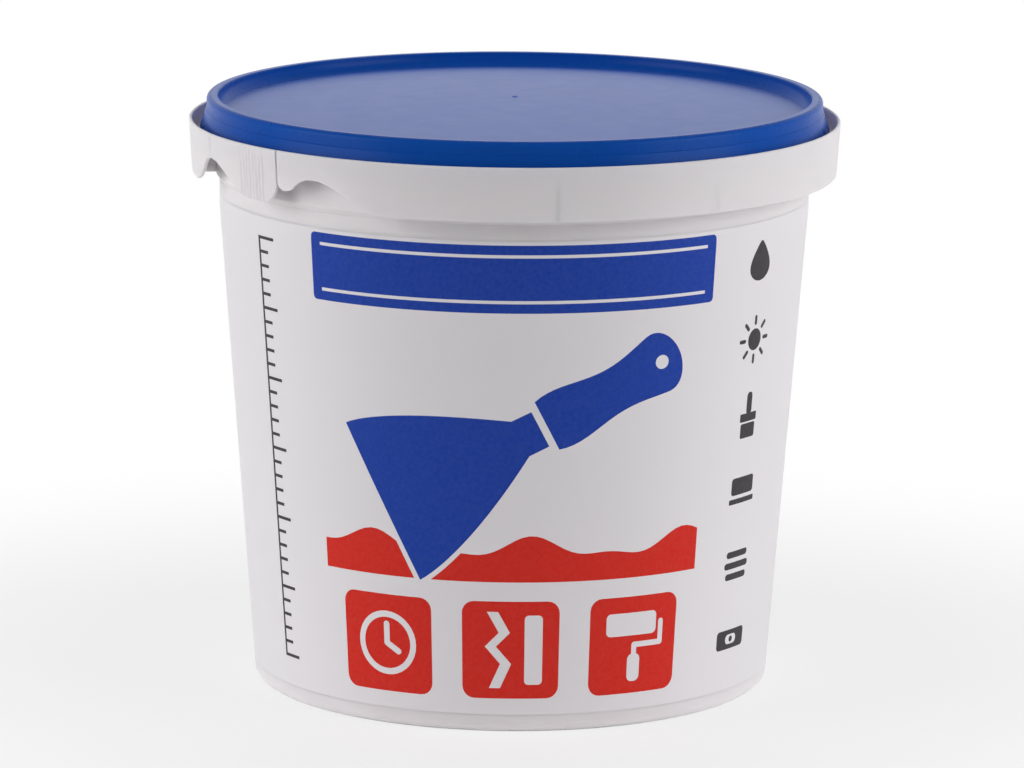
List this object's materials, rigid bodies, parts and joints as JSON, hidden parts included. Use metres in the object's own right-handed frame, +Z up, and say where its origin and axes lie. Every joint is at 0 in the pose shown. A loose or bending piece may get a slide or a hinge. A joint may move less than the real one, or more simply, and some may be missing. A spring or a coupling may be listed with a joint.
{
  "type": "wall filler tub",
  "caption": "Round tapered plastic tub of wall filler with a press-on lid, a tamper-evident collar with a tear tab and finger arches, a wrap label and the paste inside.",
  "frame": {"origin": "centre of the foot ring, on the ground", "axes": "+Z up along the axis of the tub, -Y towards the front of the label, tear tab to the left of the front"},
  "size_m": [0.1846, 0.1846, 0.1678],
  "materials": {
    "tub_plastic": "satin moulded polypropylene, white",
    "lid_plastic": "satin moulded polypropylene, blue",
    "label_film": "printed in-mould film, semi-gloss",
    "filler_paste": "soft matt white paste"
  },
  "bodies": {
    "tub": {"tub": "tub_plastic", "label": "label_film", "filler": "filler_paste"},
    "tear_tab": {"tear_tab": "tub_plastic"},
    "lid": {"lid": "lid_plastic"}
  },
  "joints": [
    {"name": "lid_lift", "type": "slide", "parent": "tub", "child": "lid", "axis": [0, 0, 1], "range_m": [0, 0.1]},
    {"name": "tear_tab_swing", "type": "hinge", "parent": "tub", "child": "tear_tab", "pos_m": [-0.08483, -0.03637, 0.158], "axis": [0, 0, -1], "range_deg": [0, 70]}
  ]
}
